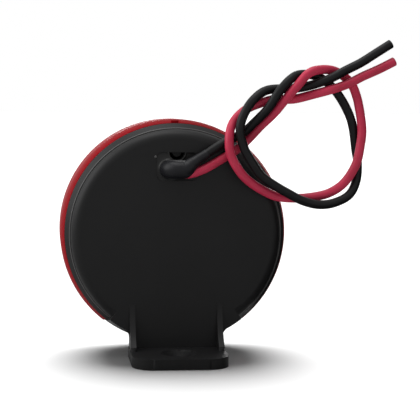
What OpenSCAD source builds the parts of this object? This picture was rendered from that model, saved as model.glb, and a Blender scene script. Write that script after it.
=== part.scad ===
// Round piezo sounder with a screw foot and two knotted flying leads.
// The disc's axis runs along Y. The flat back faces +Y and the sound slots face -Y.
// The origin is the centre of the foot's screw hole, on the surface that the foot stands on.

/* [Overall] */
// Outside diameter of the front cover
cover_d = 60; // [56:0.5:76]
// Depth from the flat back to the front face
body_depth = 24; // [23.5:0.5:34]
// Height of the cover's lowest point above the mounting surface
cover_rise = 2.25; // [1.5:0.25:8]

/* [Rear housing] */
// Thickness of the flat back wall
back_t = 2; // [1.6:0.1:3]
// Thickness of the side wall
wall_t = 2.2; // [2:0.1:3]
// Radius of the rounded edge of the flat back
back_round = 2.6; // [1:0.1:4]
// Width of the sloping ledge outside the rounded edge
ledge_w = 1.4; // [0.8:0.1:2.5]
// Depth of the sloping ledge
ledge_depth = 1.9; // [1:0.1:3]
// How far the cover stands out past the housing's rim
rim_step = 1.1; // [0.5:0.1:2]
// Thickness of the rim that the cover butts against
rim_t = 1; // [0.8:0.1:2]
// Half angle of the thick sector above the foot
saddle_half = 38; // [30:1:60]
// Depth of the thick sector
saddle_depth = 14; // [10:0.5:15]
// How far the thick sector's back edge lies inside the rim
saddle_draft = 0.9; // [0.3:0.1:2]
// Width of the key at the top that turns the cover true
key_w = 1.7; // [1.5:0.1:4]
// Length of the key
key_l = 1.8; // [1:0.1:3]

/* [Foot] */
// How far the foot runs out behind the flat back
foot_l = 16; // [13:0.5:24]
// Thickness of the foot plate
foot_t = 2.75; // [2:0.05:5]
// Corner radius of the foot's free end
foot_corner = 5.5; // [1:0.5:8]
// Distance from the flat back to the screw hole
hole_setback = 7.5; // [6:0.5:9]
// Diameter of the screw hole
hole_d = 4.4; // [3:0.1:6]
// Diameter of the countersink at the top of the foot
sink_d = 9.4; // [6:0.1:12]
// Depth of the countersink
sink_depth = 1.4; // [0.5:0.1:2]
// Width of the web that carries the foot
web_w = 24.3; // [18:0.1:34]
// How far the foot plate stands out past the web on each side
foot_lip = 0.2; // [0:0.05:1]
// Thickness of the web
web_t = 3; // [2:0.1:5]
// Radius of the fillets between the web and the disc
web_fillet = 3.4; // [1:0.1:5]
// Thickness of each gusset
gusset_t = 1.45; // [1:0.05:3]
// Height of each gusset above the foot
gusset_h = 11.5; // [6:0.5:16]
// Run of each gusset along the foot
gusset_l = 5; // [3:0.5:9]
// Height of the gusset's end on the foot
gusset_toe = 1; // [0.4:0.1:3]

/* [Front cover] */
// Thickness of the cover's skirt
skirt_t = 2.3; // [1.5:0.1:4]
// Thickness of the cover's front
front_t = 2; // [1.2:0.1:4]
// Outer corner radius of the front
front_round = 2.5; // [1:0.1:5]
// Depth at which the skirt reaches its full diameter
flare_depth = 10.1; // [8:0.1:13]
// Width of the sound slots
slot_w = 2; // [1:0.1:3]
// Number of rings of sound slots
slot_rings = 4; // [2:1:4]
// Bridge between one sound slot and the next
slot_bridge = 3; // [2:0.5:5]

/* [Sounding unit] */
// Diameter of the brass plate
plate_d = 41; // [35:0.5:44]
// Thickness of the brass plate
plate_t = 0.3; // [0.2:0.05:0.5]
// Diameter of the ceramic disc
ceramic_d = 25; // [20:0.5:30]
// Thickness of the ceramic disc
ceramic_t = 0.25; // [0.2:0.05:0.4]
// Thickness of the silvered layer on the ceramic
electrode_t = 0.1; // [0.05:0.05:0.2]
// Thickness of the adhesive ring
adhesive_t = 0.3; // [0.2:0.1:0.6]
// Depth of the air chamber in front of the plate
chamber_gap = 1.5; // [1:0.1:3]
// Thickness of the chamber's front plate
chamber_t = 1.5; // [1:0.1:3]
// Diameter of the central sound port
port_d = 9; // [5:0.5:14]
// Space between the chamber and the cover's front
sound_gap = 2.5; // [1.5:0.1:5]
// Thickness of the dust mesh
mesh_t = 0.3; // [0.2:0.1:0.6]
// Section of the sealing ring
seal_d = 1.36; // [1:0.02:2]

/* [Circuit board] */
// Thickness of the board
board_t = 1.6; // [0.8:0.1:2.4]
// Height of the posts under the board
boss_h = 3; // [2.5:0.1:5]
// Diameter of the posts
boss_d = 5.2; // [4.5:0.1:8]
// Height of the tall parts above the board
part_h = 7; // [5:0.5:7.5]

/* [Leads] */
// Outside diameter of each lead
lead_d = 2.35; // [1.5:0.05:2.35]
// Gap between the two leads inside the sleeve
lead_gap = 0.1; // [0.05:0.05:0.4]
// Wall of the sleeve round both leads
sleeve_wall = 0.2; // [0.2:0.05:0.6]
// Straight length of the sleeve after its bend
sleeve_run = 1.65; // [1:0.05:8]
// How far the outlet lies to the side of the axis
outlet_x = 2.3; // [0:0.1:3]
// How far the outlet lies above the axis
outlet_up = 17.25; // [15:0.25:18.5]

/* [Hidden] */
$fn = 72;

// Clearances
slip = 0.3;          // between the cover's bore and the housing
butt = 0.1;          // between the cover's edge and the rim
key_slip = 0.15;     // each side of the key
past = 1;            // how far a cut runs past the face it opens
saddle_slip = 0.6;   // angle each side of the thick sector
saddle_inset = 0.25; // how far the thick sector lies inside the cover's surface
proud = 0.1;         // how far one surface stands past another that it would else share

// Radii and depths, outside
cover_r = cover_d / 2;
rim_r = cover_r - rim_step;
shoulder_r = rim_r - ledge_w;
flat_r = shoulder_r - back_round;
rim_depth = back_round + ledge_depth;
saddle_r = rim_r - saddle_draft;
foot_w = web_w + 2 * foot_lip;
bore_r = cover_r - skirt_t;
wall_r = bore_r - slip;
cavity_r = wall_r - wall_t;
skirt_start = rim_depth + rim_t + butt;
skirt_edge_r = rim_r + butt;
axis_h = cover_r + cover_rise;
back_y = -hole_setback;
gusset_lip = 0.2;  // run that a gusset still has at its top

// The flare is an arc from the skirt's edge that meets the full diameter on the tangent
flare_l = flare_depth - skirt_start;
flare_in = cover_r - skirt_edge_r;
flare_r = (flare_in * flare_in + flare_l * flare_l) / (2 * flare_in);

// Depths of the sounding unit, counted from the flat back
front_in = body_depth - front_t;
chamber_front = front_in - sound_gap;
wall_end = chamber_front - chamber_t;
seat_depth = wall_end - chamber_gap;
plate_front = seat_depth - adhesive_t;
plate_back = plate_front - plate_t;
ceramic_back = plate_back - ceramic_t;
electrode_back = ceramic_back - electrode_t;
seat_w = 1.7;
adhesive_w = 1.4;
plate_slip = 0.1;
seat_r = plate_d / 2 + plate_slip;
adhesive_in = 0.15; // how far the adhesive stays inside the seat's edge
spigot_w = 1.8;
spigot_l = 1.7;
press_w = 1.6;
press_r = cavity_r - 0.6;
chamber_slip = 0.8; // between the chamber and the cover's bore
vent_r = 11;        // circle of the small holes round the central port
vent_d = 3.2;
vent_step = 45;
electrode_in = 0.7; // bare border of the ceramic

// The sealing ring's groove
seal_depth = wall_end - 1.8;
seal_slip = 0.02;  // each side of the ring between groove and cover
groove_w = seal_d + 0.44;
groove_r = bore_r - seal_d - 2 * seal_slip;

// The board and its posts
board_back = back_t + boss_h;
board_front = board_back + board_t;
board_gap = 5.2;   // between the board's edge and the wall
board_r = cavity_r - board_gap;
board_flat = 12.5;
boss_in = 4;       // how far the posts stand inside the board's edge
boss_r = board_r - boss_in;
boss_turns = [30, 150, 270];
pilot_d = 2;
pilot_floor = 0.3;
screw_d = 1.9;
screw_head_d = 4;
screw_head_h = 1.4;
screw_taper = 0.8;
screw_slot = [2.2, 0.5, 0.7];
screw_hole_slip = 0.5;
stand = 0.3;       // gap under the parts that stand on the board
leg_out = 1.2;     // how far a leg comes out behind the board
leg_hole = 0.3;    // extra diameter of a leg's hole in the board
joint_h = 1;
joint_d = 1.9;
joint_tip = 0.3;   // extra diameter of a joint's tip round its leg

// Where the parts stand on the board
coil_at = [-9.5, -3.5];
coil_d = 8;
coil_hub_d = 3.6;
coil_flange = 1.2;
coil_edge = 0.5;   // how far the winding stays inside the flanges
coil_pin_d = 0.7;
can_at = [9, -5.5];
can_d = 6.3;
can_skin = 0.15;
can_lip = 0.7;     // how far the sleeve folds in over the can's end
can_score = [0.3, 0.2];
can_groove = [1.1, 0.6, 0.3];
can_leg_d = 0.5;
can_leg_pitch = 2.5;
transistor_at = [9.5, 4];
transistor_d = 4.8;
transistor_flat = 1.3;
transistor_h = 4.8;
transistor_lift = 2;
transistor_leg_d = 0.45;
transistor_pitch = 1.27;
chip_at = [0, 1.5];
chip_size = [3.9, 4.9, 1.5];
chip_lift = 0.1;
chip_leg_w = 0.4;
chip_leg_t = 0.2;
chip_leg_out = 1.05;
chip_leg_pitch = 1.27;
chip_knee = 0.47;  // how far out a leg turns down
axial_pitch = 7.6;
axial_bend = 0.8;
post_gap = 3.4;    // how far the first resistor lies below the upper left post
resistor_at = [[-8.5, boss_r * sin(boss_turns[0]) - post_gap], [0, -6.2], [0, -9.4]];
resistor_d = 2;
resistor_l = 4.6;
resistor_waist = 0.3;
resistor_cap = 1.2;
resistor_wire = 0.5;
diode_at = [0, -3];
diode_d = 2.6;
diode_l = 5;
diode_wire = 0.7;
plate_wire_d = 0.8;
plate_wire_bend = 1.2;
plate_wire_rise = board_front + 4.5;
red_wire_at = [4, -12.5];
red_dot_at = [4, -9];
black_wire_at = [-4, -12.5];
black_dot_at = [-9, -12.5];
dot_h = 0.8;
dot_d = 2.2;

// Each leg that goes through the board: place and diameter
coil_legs = [for (p = [[-2.5, -2], [2.5, -2], [0, 2.5]]) [coil_at + p, coil_pin_d]];
can_legs = [for (s = [-1, 1]) [can_at + [s * can_leg_pitch / 2, 0], can_leg_d]];
transistor_legs_at = [for (k = [-1 : 1]) [transistor_at + [0, k * transistor_pitch], transistor_leg_d]];
resistor_legs = [for (p = resistor_at, s = [-1, 1]) [p + [s * axial_pitch / 2, 0], resistor_wire]];
diode_legs = [for (s = [-1, 1]) [diode_at + [s * axial_pitch / 2, 0], diode_wire]];
wire_legs = [[red_wire_at, plate_wire_d], [black_wire_at, plate_wire_d]];
board_legs = concat(coil_legs, can_legs, transistor_legs_at, resistor_legs, diode_legs, wire_legs);

// The outlet: a shallow pocket, a hole through the back and a bent sleeve
pocket_w = 10.7;
pocket_h = 7.3;
pocket_depth = 0.6;
pocket_corner = 1.5;
outlet_d = 5.9;
pocket_rise = 0.6; // how far the pocket's middle lies above the outlet
pocket_up = outlet_up + pocket_rise;
lead_pitch = lead_d + lead_gap;
sleeve_id = lead_pitch + lead_d + lead_gap;
sleeve_od = sleeve_id + 2 * sleeve_wall;
sleeve_bend = sleeve_od / 2 + 0.25;
sleeve_in = 1.2;
mound_h = 0.4;
mound_d = 6;
mound_top_d = 5.5;
hollow_d = 4.2;
hollow_drop = 0; // how far the hollow's middle lies below the pocket's upper edge
hollow_skin = 0.4; // wall left in front of the hollow
mouth_x = outlet_x - sleeve_bend - sleeve_run;

// The leads inside: round the sleeve's bend, in through the back and down to the board
tail_bend = 2.2;
tail_lift = board_front + lead_d / 2 + lead_gap;
tail_core_d = 1;
tail_end = 10.5;
core_l = 3.1;
black_tail_x = outlet_x - 4.7;
tail_joint_d = 4;
tail_joint_top = 2;
tail_joint_h = 1.9;
tail_joint_up = tail_end - 2.1;

// The routes of the two free leads, counted from the middle of the sleeve's mouth, in row axes
red_route = [[0, 0, -lead_pitch / 2], [-4, -0.4, -0.1], [-8, -1.1, 2], [-13, -1.5, 5.1], [-15.9, -2, 7.6],
    [-19.2, -1.3, 11.25], [-22.25, -0.3, 14.35], [-25, 0.8, 17.95], [-28, 1.2, 21.5], [-31, 1.2, 24.75],
    [-34, 0.3, 25.65], [-38.5, -1.2, 25.3], [-42.5, -1.4, 22.5], [-44, -1.3, 19.5], [-45, -0.8, 15],
    [-45.5, -0.2, 10], [-45, 0.2, 6], [-44, 0.2, 1.5], [-41, -0.4, -3.5], [-37.5, -0.9, -6],
    [-34, -1.2, -7], [-29, -1.3, -7.5], [-23.5, -0.9, -7], [-20, -0.3, -5.5], [-16, 0.5, -3],
    [-13.5, 0.9, -0.5], [-11, 1.2, 4], [-10.75, 0.7, 9], [-12.1, -0.8, 12.4], [-15.5, -1.5, 15.5],
    [-19, -1.4, 17], [-23, -1.5, 18.1], [-27.5, -1.4, 18.1], [-33, -0.1, 19.5], [-36.5, 0.8, 20.5],
    [-41, 1, 22], [-45, 0.9, 24], [-49.5, 0.7, 26], [-53.5, 0.5, 28]];
black_route = [[0, 0, lead_pitch / 2], [-3.5, -0.3, 3], [-7.5, -1, 5.5], [-12, -1.4, 8], [-14.6, -1, 9.4],
    [-17.1, -0.15, 11.9], [-20.45, 0.9, 15.5], [-23.4, 1.2, 20.05], [-26.5, 0.4, 23.25], [-29, -0.9, 24.4],
    [-33.5, -1.5, 24.1], [-37, -1.5, 22], [-40, -1.5, 18.5], [-42.5, -1.6, 14], [-43.5, -1.8, 11],
    [-44.5, -2.1, 5], [-45, -2.1, 2], [-44.5, -1.2, -3], [-42.5, -0.3, -6.5], [-38.5, 0.4, -8.5],
    [-34.5, 0.8, -9], [-30, 1, -8], [-26, 1.1, -6], [-22.5, 1.1, -4], [-19, 1.1, -1.5],
    [-16.5, 1.2, 2], [-14.5, 1.2, 5.5], [-13.3, 1.5, 10.5], [-14.5, 1.2, 14.5], [-17, 0.4, 18],
    [-20.5, -1, 20.3], [-26, -1.4, 20.8], [-29, -1.1, 21], [-33.5, 0.4, 22.2], [-37, 1, 23.6],
    [-40.5, 1.1, 25.5], [-44.5, 0.9, 27.5], [-48.5, 0.7, 30], [-52.5, 0.5, 32.5]];
knot_depth = 1.15; // how far the knot is spread from front to back
lead_sides = 8;

function unit(v) = v / norm(v);
function side_of(v) = unit(cross(v, abs(v.z) < 0.9 * norm(v) ? [0, 0, 1] : [1, 0, 0]));
function turn(c, i) = acos(unit(c[i] - c[i - 1]) * unit(c[i + 1] - c[i]));
function trim(c, radii, i) = i == 0 || i == len(c) - 1 ? 0 : radii[i - 1] * tan(turn(c, i) / 2);
function columns(x, y, z, at) = [[x.x, y.x, z.x, at.x], [x.y, y.y, z.y, at.y], [x.z, y.z, z.z, at.z]];
function heading(route, i) = i == 0 ? [-1, 0, 0]
    : unit(route[min(i + 1, len(route) - 1)] - route[i - 1]);

// Puts a shape on the disc's axis: X stays, Y is up from the axis and Z is depth from the flat back.
module on_axis() {
    translate([0, back_y, axis_h]) rotate([90, 0, 0]) children();
}

// A ring or disc about the axis, between two radii and two depths.
module ring(r_in, r_out, from, to) {
    rotate_extrude() translate([r_in, from]) square([r_out - r_in, to - from]);
}

// A round rod between two points.
module rod(from, to, d) {
    w = unit(to - from);
    p = side_of(w);
    multmatrix(columns(p, cross(w, p), w, from)) cylinder(h = norm(to - from), d = d);
}

// A wire along a list of corners, with a true bend at each inner one.
module bent_wire(corners, d, radii) {
    for (i = [0 : len(corners) - 2]) {
        u = unit(corners[i + 1] - corners[i]);
        rod(corners[i] + u * trim(corners, radii, i), corners[i + 1] - u * trim(corners, radii, i + 1), d);
    }
    for (i = [1 : len(corners) - 2]) {
        u = unit(corners[i] - corners[i - 1]);
        v = unit(corners[i + 1] - corners[i]);
        n = unit(v - (v * u) * u);
        centre = corners[i] - u * trim(corners, radii, i) + n * radii[i - 1];
        multmatrix(columns(-n, u, cross(u, n), centre))
            rotate_extrude(angle = turn(corners, i)) translate([radii[i - 1], 0]) circle(d = d);
    }
}

// A tube of flat sides swept along a route.
module swept_tube(route, d) {
    last = len(route) - 1;
    points = [for (i = [0 : last], k = [0 : lead_sides - 1])
        let (t = heading(route, i), b = unit(cross(t, [0, 1, 0])), c = cross(b, t),
             a = 360 * k / lead_sides)
        route[i] + d / 2 * (cos(a) * b + sin(a) * c)];
    function at(i, k) = i * lead_sides + k % lead_sides;
    sides = [for (i = [0 : last - 1], k = [0 : lead_sides - 1], half = [0, 1])
        half == 0 ? [at(i, k), at(i + 1, k), at(i + 1, k + 1)]
                  : [at(i, k), at(i + 1, k + 1), at(i, k + 1)]];
    caps = [[for (k = [0 : lead_sides - 1]) at(0, k)],
            [for (k = [lead_sides - 1 : -1 : 0]) at(last, k)]];
    polyhedron(points = points, faces = concat(sides, caps), convexity = 8);
}

// A rectangle with round corners, centred.
module round_rect(w, h, r) {
    square([w, h - 2 * r], center = true);
    square([w - 2 * r, h], center = true);
    for (sx = [-1, 1], sy = [-1, 1])
        translate([sx * (w / 2 - r), sy * (h / 2 - r)]) circle(r);
}

module pocket_shape() {
    translate([0, pocket_up]) round_rect(pocket_w, pocket_h, pocket_corner);
}

// The round hollow above the outlet, cut off by the pocket's upper edge.
module outlet_hollow() {
    translate([0, 0, -past]) linear_extrude(back_t - hollow_skin + past) intersection() {
        pocket_shape();
        translate([0, pocket_up + pocket_h / 2 - hollow_drop]) circle(d = hollow_d);
    }
}

// The back's profile: flat, rounded edge, sloping ledge, rim and wall.
module dish_profile() {
    square([flat_r, rim_depth]);
    intersection() {
        translate([flat_r, back_round]) circle(back_round);
        translate([flat_r - back_round, 0]) square([2 * back_round, back_round]);
    }
    polygon([[flat_r, back_round], [shoulder_r, back_round], [rim_r, rim_depth],
        [rim_r, rim_depth + rim_t], [flat_r, rim_depth + rim_t]]);
    translate([0, back_round]) square([wall_r, wall_end - back_round]);
}

// The thick sector above the foot. It widens from the flat back to the rim and on to the cover.
module saddle() {
    inner = cavity_r - past;
    full = cover_r - saddle_inset;
    flared = min(flare_depth, saddle_depth - past);
    rotate([0, 0, 270 - saddle_half]) rotate_extrude(angle = 2 * saddle_half)
        polygon([[inner, 0], [saddle_r, 0], [rim_r + proud, rim_depth], [full, flared],
            [full, saddle_depth], [inner, saddle_depth]]);
}

// The web between disc and foot, with a fillet each side.
module web() {
    half = web_w / 2;
    disc_r = saddle_r - proud;
    up = sqrt(pow(disc_r + web_fillet, 2) - pow(half + web_fillet, 2));
    centre = [half + web_fillet, -up];
    linear_extrude(web_t) {
        translate([-half, -axis_h]) square([web_w, axis_h - cavity_r + 2 * past]);
        for (s = [0, 1]) mirror([s, 0]) difference() {
            polygon([[half - past, -up], [half - past, -up + web_fillet + past],
                centre * (disc_r - proud) / norm(centre), centre]);
            translate(centre) circle(web_fillet);
        }
    }
}

module foot_plate() {
    long = foot_l + web_t;
    translate([0, back_y - web_t, 0]) linear_extrude(foot_t) {
        translate([-foot_w / 2, 0]) square([foot_w, long - foot_corner]);
        translate([foot_corner - foot_w / 2, 0]) square([foot_w - 2 * foot_corner, long]);
        for (s = [-1, 1])
            translate([s * (foot_w / 2 - foot_corner), long - foot_corner]) circle(foot_corner);
    }
}

// One gusset: its back edge is a hollow arc that fades out at the top.
module gusset() {
    run = gusset_l - gusset_lip;
    drop = gusset_h - gusset_toe;
    arc_r = (run * run + drop * drop) / (2 * run);
    translate([0, back_y, foot_t]) rotate([90, 0, 90]) linear_extrude(gusset_t) difference() {
        translate([-past, -past]) square([gusset_l + past, gusset_h + past]);
        translate([gusset_lip + arc_r, gusset_h]) circle(arc_r);
    }
}

module bosses() {
    for (a = boss_turns) rotate([0, 0, a]) translate([boss_r, 0, back_t - past])
        cylinder(h = boss_h + past, d = boss_d);
}

module key() {
    translate([-key_w / 2, wall_r - past, rim_depth + rim_t / 2])
        cube([key_w, rim_r - wall_r + past - proud, key_l + rim_t / 2]);
}

module rear_housing() {
    color([0.09, 0.09, 0.1]) difference() {
        union() {
            on_axis() difference() {
                union() { rotate_extrude() dish_profile(); saddle(); web(); key(); }
                translate([0, 0, back_t]) cylinder(h = wall_end, r = cavity_r);
                ring(groove_r, cover_r, seal_depth - groove_w / 2, seal_depth + groove_w / 2);
                translate([0, 0, -past]) linear_extrude(pocket_depth + past) pocket_shape();
                translate([outlet_x, outlet_up, -past]) cylinder(h = back_t + 2 * past, d = outlet_d);
                outlet_hollow();
            }
            on_axis() bosses();
            foot_plate();
            for (s = [0, 1]) mirror([s, 0, 0])
                translate([web_w / 2 - gusset_t, 0, 0]) gusset();
        }
        on_axis() for (a = boss_turns) rotate([0, 0, a])
            translate([boss_r, 0, back_t - pilot_floor]) cylinder(h = boss_h + pilot_floor + past, d = pilot_d);
        translate([0, 0, -past]) cylinder(h = foot_t + 2 * past, d = hole_d);
        translate([0, 0, foot_t - sink_depth]) cylinder(h = sink_depth, d1 = hole_d, d2 = sink_d);
        translate([0, 0, foot_t]) cylinder(h = past, d = sink_d);
    }
}

// The cover's profile: flared edge, skirt, rounded corner, front and the ring that presses the chamber.
module cover_profile() {
    difference() {
        union() {
            intersection() {
                translate([cover_r - flare_r, flare_depth]) circle(flare_r);
                translate([cover_r - flare_r, skirt_start]) square([flare_r, flare_l]);
            }
            translate([0, flare_depth]) square([cover_r, body_depth - front_round - flare_depth]);
            translate([0, flare_depth]) square([cover_r - front_round, body_depth - flare_depth]);
            translate([cover_r - front_round, body_depth - front_round]) circle(front_round);
        }
        translate([-past, 0]) square([bore_r + past, front_in]);
    }
    translate([press_r, chamber_front]) square([press_w, front_in - chamber_front + past / 2]);
}

module sound_slots() {
    pitch = (press_r - 2 * slot_w) / slot_rings;
    for (k = [1 : slot_rings]) {
        r = pitch * k;
        count = 2 * k + 1;
        span = 360 / count - slot_bridge / r * 180 / PI;
        for (j = [0 : count - 1]) rotate([0, 0, 90 + 360 * j / count - span / 2])
            rotate_extrude(angle = span)
                translate([r - slot_w / 2, front_in - past]) square([slot_w, front_t + 2 * past]);
    }
}

module front_cover() {
    gap = saddle_half + saddle_slip;
    color([0.72, 0.05, 0.08]) on_axis() difference() {
        rotate_extrude() cover_profile();
        sound_slots();
        rotate([0, 0, 270 - gap]) rotate_extrude(angle = 2 * gap)
            translate([bore_r - past, 0]) square([skirt_t + 2 * past, saddle_depth + slip]);
        translate([-key_w / 2 - key_slip, bore_r - past, 0])
            cube([key_w + 2 * key_slip, skirt_t + 2 * past, skirt_start + key_l]);
    }
}

module cover_seal() {
    color([0.15, 0.15, 0.15]) on_axis() rotate_extrude()
        translate([groove_r + seal_slip + seal_d / 2, seal_depth]) circle(d = seal_d);
}

module dust_mesh() {
    color([0.12, 0.12, 0.12]) on_axis() ring(0, press_r - slip, front_in - mesh_t, front_in);
}

// The moulded chamber that carries the plate and stands on the end of the housing's wall.
module sound_chamber() {
    color([0.16, 0.16, 0.17]) on_axis() difference() {
        union() {
            ring(0, bore_r - chamber_slip, wall_end, chamber_front);
            ring(seat_r - seat_w, seat_r, seat_depth, wall_end + chamber_t / 2);
            ring(cavity_r - slip - spigot_w, cavity_r - slip, wall_end - spigot_l, wall_end + chamber_t / 2);
        }
        translate([0, 0, wall_end - past]) cylinder(h = chamber_t + 2 * past, d = port_d);
        for (a = [0 : vent_step : 359]) rotate([0, 0, a])
            translate([vent_r, 0, wall_end - past]) cylinder(h = chamber_t + 2 * past, d = vent_d);
    }
}

module plate_adhesive() {
    color([0.85, 0.85, 0.82]) on_axis()
        ring(seat_r - adhesive_in - adhesive_w, seat_r - adhesive_in, plate_front, seat_depth);
}

module piezo_plate() {
    color([0.82, 0.66, 0.32]) on_axis() ring(0, plate_d / 2, plate_back, plate_front);
}

module piezo_ceramic() {
    color([0.86, 0.82, 0.74]) on_axis() ring(0, ceramic_d / 2, ceramic_back, plate_back);
}

module ceramic_electrode() {
    color([0.8, 0.8, 0.8]) on_axis() ring(0, ceramic_d / 2 - electrode_in, electrode_back, ceramic_back);
}

// The two dots of solder that hold the thin wires on the silvered layer and on the brass.
module plate_solder() {
    color([0.75, 0.75, 0.77]) on_axis() {
        translate([red_dot_at.x, red_dot_at.y, electrode_back - dot_h])
            cylinder(h = dot_h, d1 = dot_d / 2, d2 = dot_d);
        translate([black_dot_at.x, black_dot_at.y, plate_back - dot_h])
            cylinder(h = dot_h, d1 = dot_d / 2, d2 = dot_d);
    }
}

// A thin wire from the board to a dot of solder on the plate.
module plate_wire(from, to, end) {
    bent_wire([[from.x, from.y, board_back - leg_out], [from.x, from.y, plate_wire_rise],
        [to.x, to.y, plate_wire_rise], [to.x, to.y, end - dot_h]], plate_wire_d,
        [plate_wire_bend, plate_wire_bend]);
}

module plate_wire_red() {
    color([0.7, 0.08, 0.1]) on_axis() plate_wire(red_wire_at, red_dot_at, electrode_back);
}

module plate_wire_black() {
    color([0.1, 0.1, 0.1]) on_axis() plate_wire(black_wire_at, black_dot_at, plate_back);
}

module circuit_board() {
    color([0.16, 0.36, 0.2]) on_axis() translate([0, 0, board_back]) difference() {
        cylinder(h = board_t, r = board_r);
        translate([-board_r, board_flat, -past]) cube([2 * board_r, board_r, board_t + 2 * past]);
        for (a = boss_turns) rotate([0, 0, a])
            translate([boss_r, 0, -past]) cylinder(h = board_t + 2 * past, d = pilot_d + screw_hole_slip);
        for (leg = board_legs)
            translate([leg[0].x, leg[0].y, -past]) cylinder(h = board_t + 2 * past, d = leg[1] + leg_hole);
    }
}

module board_screws() {
    reach = board_t + boss_h;
    color([0.75, 0.75, 0.74]) on_axis() for (a = boss_turns) rotate([0, 0, a])
        translate([boss_r, 0, board_front]) {
            translate([0, 0, -reach]) cylinder(h = reach + screw_head_h / 2, d = screw_d);
            difference() {
                cylinder(h = screw_head_h, d1 = screw_head_d, d2 = screw_head_d - screw_taper);
                for (t = [0, 90]) rotate([0, 0, t])
                    translate([-screw_slot.x / 2, -screw_slot.y / 2, screw_head_h - screw_slot.z])
                        cube([screw_slot.x, screw_slot.y, past]);
            }
        }
}

// Legs that go through the board, from a depth in front of it to their trimmed ends.
module legs(list, top) {
    for (leg = list) translate([leg[0].x, leg[0].y, board_back - leg_out])
        cylinder(h = top - board_back + leg_out, d = leg[1]);
}

module coil_core() {
    base = board_front + stand;
    color([0.25, 0.24, 0.24]) on_axis() translate([coil_at.x, coil_at.y, base]) {
        cylinder(h = coil_flange, d = coil_d);
        cylinder(h = part_h, d = coil_hub_d);
        translate([0, 0, part_h - coil_flange]) cylinder(h = coil_flange, d = coil_d);
    }
}

module coil_winding() {
    base = board_front + stand + coil_flange;
    color([0.72, 0.4, 0.2]) on_axis() translate([coil_at.x, coil_at.y, 0])
        ring(coil_hub_d / 2, coil_d / 2 - coil_edge, base, base + part_h - 2 * coil_flange);
}

module coil_pins() {
    color([0.75, 0.75, 0.77]) on_axis() legs(coil_legs, board_front + stand);
}

module driver_chip() {
    color([0.13, 0.13, 0.13]) on_axis()
        translate([chip_at.x - chip_size.x / 2, chip_at.y - chip_size.y / 2, board_front + chip_lift])
            cube(chip_size);
}

// One leg of the chip in profile: out of the side, down and along the board.
module chip_leg() {
    top = chip_lift + chip_size.z / 2 + chip_leg_t;
    rotate([90, 0, 0]) translate([0, 0, -chip_leg_w / 2]) linear_extrude(chip_leg_w)
        polygon([[0, top], [chip_knee, top], [chip_knee, chip_leg_t], [chip_leg_out, chip_leg_t],
            [chip_leg_out, 0], [chip_knee - chip_leg_t, 0], [chip_knee - chip_leg_t, top - chip_leg_t],
            [0, top - chip_leg_t]]);
}

module driver_chip_legs() {
    color([0.75, 0.75, 0.77]) on_axis() translate([chip_at.x, chip_at.y, board_front])
        for (s = [0, 1], k = [-1.5 : 1.5]) mirror([s, 0, 0])
            translate([chip_size.x / 2, k * chip_leg_pitch, 0]) chip_leg();
}

module transistor() {
    color([0.12, 0.12, 0.12]) on_axis()
        translate([transistor_at.x, transistor_at.y, board_front + transistor_lift]) difference() {
            cylinder(h = transistor_h, d = transistor_d);
            translate([transistor_flat, -transistor_d, -past])
                cube([transistor_d, 2 * transistor_d, transistor_h + 2 * past]);
        }
}

module transistor_legs() {
    color([0.75, 0.75, 0.77]) on_axis() legs(transistor_legs_at, board_front + transistor_lift);
}

module capacitor_can() {
    color([0.78, 0.78, 0.8]) on_axis() translate([can_at.x, can_at.y, board_front + stand]) difference() {
        cylinder(h = part_h, d = can_d);
        for (t = [0, 90]) rotate([0, 0, t])
            translate([-can_d / 3, -can_score.x / 2, part_h - can_score.y])
                cube([2 * can_d / 3, can_score.x, past]);
        ring(can_d / 2 - can_groove.z, can_d, can_groove.x, can_groove.x + can_groove.y);
    }
}

module capacitor_sleeve() {
    base = board_front + stand;
    color([0.1, 0.12, 0.2]) on_axis() translate([can_at.x, can_at.y, 0]) {
        ring(can_d / 2, can_d / 2 + can_skin, base, base + part_h);
        ring(can_d / 2 - can_lip, can_d / 2 + can_skin, base + part_h, base + part_h + can_skin);
    }
}

module capacitor_legs() {
    color([0.75, 0.75, 0.77]) on_axis() legs(can_legs, board_front + stand);
}

module resistors() {
    color([0.8, 0.7, 0.52]) on_axis() for (p = resistor_at)
        translate([p.x, p.y, board_front + stand + resistor_d / 2]) rotate([0, 90, 0]) {
            cylinder(h = resistor_l, d = resistor_d - resistor_waist, center = true);
            for (s = [-1, 1]) translate([0, 0, s * (resistor_l - resistor_cap) / 2])
                cylinder(h = resistor_cap, d = resistor_d, center = true);
        }
}

// The two leads of a part that lies on the board, each bent down through its hole.
module axial_leads(at, body_l, body_d, wire_d) {
    lift = board_front + stand + body_d / 2;
    for (s = [-1, 1]) bent_wire([[at.x + s * body_l / 2, at.y, lift], [at.x + s * axial_pitch / 2, at.y, lift],
        [at.x + s * axial_pitch / 2, at.y, board_back - leg_out]], wire_d, [axial_bend]);
}

module resistor_leads() {
    color([0.75, 0.75, 0.77]) on_axis() for (p = resistor_at)
        axial_leads(p, resistor_l, resistor_d, resistor_wire);
}

module diode() {
    color([0.11, 0.11, 0.11]) on_axis()
        translate([diode_at.x, diode_at.y, board_front + stand + diode_d / 2]) rotate([0, 90, 0])
            cylinder(h = diode_l, d = diode_d, center = true);
}

module diode_leads() {
    color([0.75, 0.75, 0.77]) on_axis() axial_leads(diode_at, diode_l, diode_d, diode_wire);
}

// The cones of solder behind the board, one round each leg.
module solder_joints() {
    color([0.75, 0.75, 0.77]) on_axis() for (leg = board_legs)
        translate([leg[0].x, leg[0].y, board_back - joint_h]) difference() {
            cylinder(h = joint_h, d1 = leg[1] + joint_tip, d2 = joint_d);
            translate([0, 0, -past]) cylinder(h = joint_h + 2 * past, d = leg[1]);
        }
}

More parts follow.
